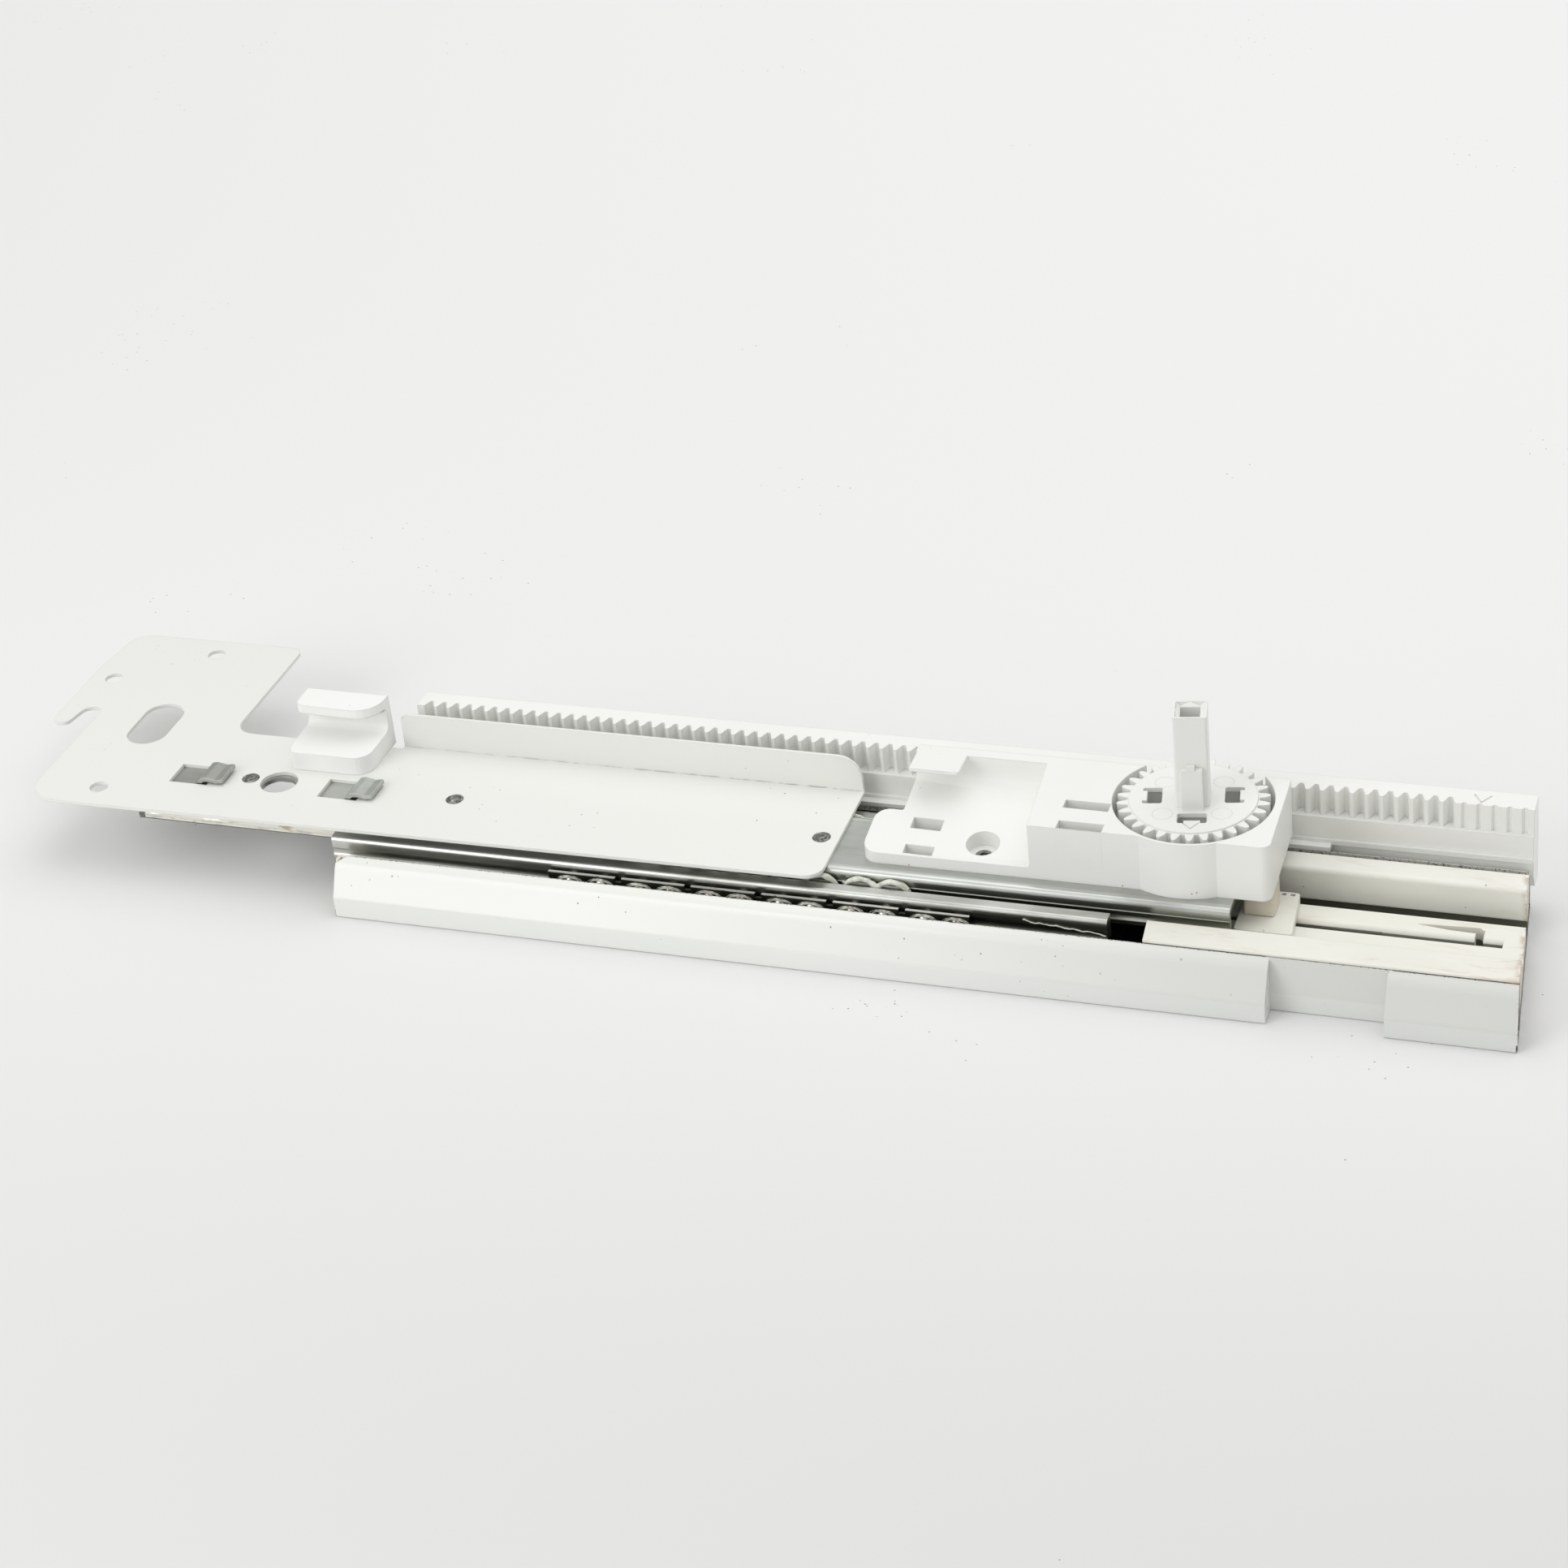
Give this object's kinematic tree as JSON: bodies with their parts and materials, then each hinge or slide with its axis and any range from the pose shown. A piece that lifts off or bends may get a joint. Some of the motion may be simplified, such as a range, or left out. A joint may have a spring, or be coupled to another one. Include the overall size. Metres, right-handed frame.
{
  "type": "drawer slide",
  "caption": "Telescoping ball drawer slide lying on its side, with a rack and pinion synchroniser, a square cross-shaft socket and a self-closing latch unit.",
  "frame": {"origin": "middle of the base channel's underside, on the slide's centre line, halfway along the base", "axes": "+X along the slide towards its fixed rear end, +Y across it towards the rack, +Z out of the base towards the drawer side"},
  "size_m": [0.5248, 0.1233, 0.0774],
  "materials": {
    "white_paint": "gloss",
    "zinc_steel": "satin",
    "cage_steel": "satin",
    "ball_steel": "polished",
    "rivet_steel": "satin",
    "white_acetal": "satin",
    "cream_plastic": "satin",
    "beige_plastic": "satin"
  },
  "bodies": {
    "base": {"base_channel": "white_paint", "cabinet_rail": "zinc_steel", "rack": "white_acetal", "damper_housing": "cream_plastic", "spring_housing": "cream_plastic", "latch_track": "cream_plastic"},
    "latch": {"latch_slider": "cream_plastic"},
    "intermediate": {"intermediate_rail": "zinc_steel"},
    "outer_cages": {"outer_ball_cages": "cage_steel", "outer_balls": "ball_steel"},
    "inner_cages": {"inner_ball_cages": "cage_steel", "inner_balls": "ball_steel"},
    "drawer": {"drawer_rail": "zinc_steel", "drawer_bracket": "white_paint", "bracket_rivets": "rivet_steel", "guide_clip": "white_acetal", "gear_housing": "white_acetal", "housing_rivet": "rivet_steel", "latch_catch": "beige_plastic"},
    "pinion": {"pinion": "white_acetal"}
  },
  "joints": [
    {"name": "drawer_slide", "type": "slide", "parent": "base", "child": "drawer", "axis": [1, 0, 0], "range_m": [-0.25, 0.066]},
    {"name": "intermediate_slide", "type": "slide", "parent": "base", "child": "intermediate", "axis": [1, 0, 0], "range_m": [-0.0426, 0.0113]},
    {"name": "outer_cage_slide", "type": "slide", "parent": "base", "child": "outer_cages", "axis": [1, 0, 0], "range_m": [-0.0213, 0.0057]},
    {"name": "inner_cage_slide", "type": "slide", "parent": "base", "child": "inner_cages", "axis": [1, 0, 0], "range_m": [-0.1463, 0.0387]},
    {"name": "pinion_spin", "type": "hinge", "parent": "drawer", "child": "pinion", "pos_m": [0.08639, 0.01422, 0.036], "axis": [0, 0, 1], "range_deg": [-640, 170]},
    {"name": "latch_slide", "type": "slide", "parent": "base", "child": "latch", "axis": [1, 0, 0], "range_m": [0, 0.062]}
  ],
  "couplings": [
    {"joint": "intermediate_slide", "follows": "drawer_slide", "ratio": 0.17},
    {"joint": "outer_cage_slide", "follows": "drawer_slide", "ratio": 0.085},
    {"joint": "inner_cage_slide", "follows": "drawer_slide", "ratio": 0.585},
    {"joint": "pinion_spin", "follows": "drawer_slide", "rad_per_m": 44.444}
  ]
}
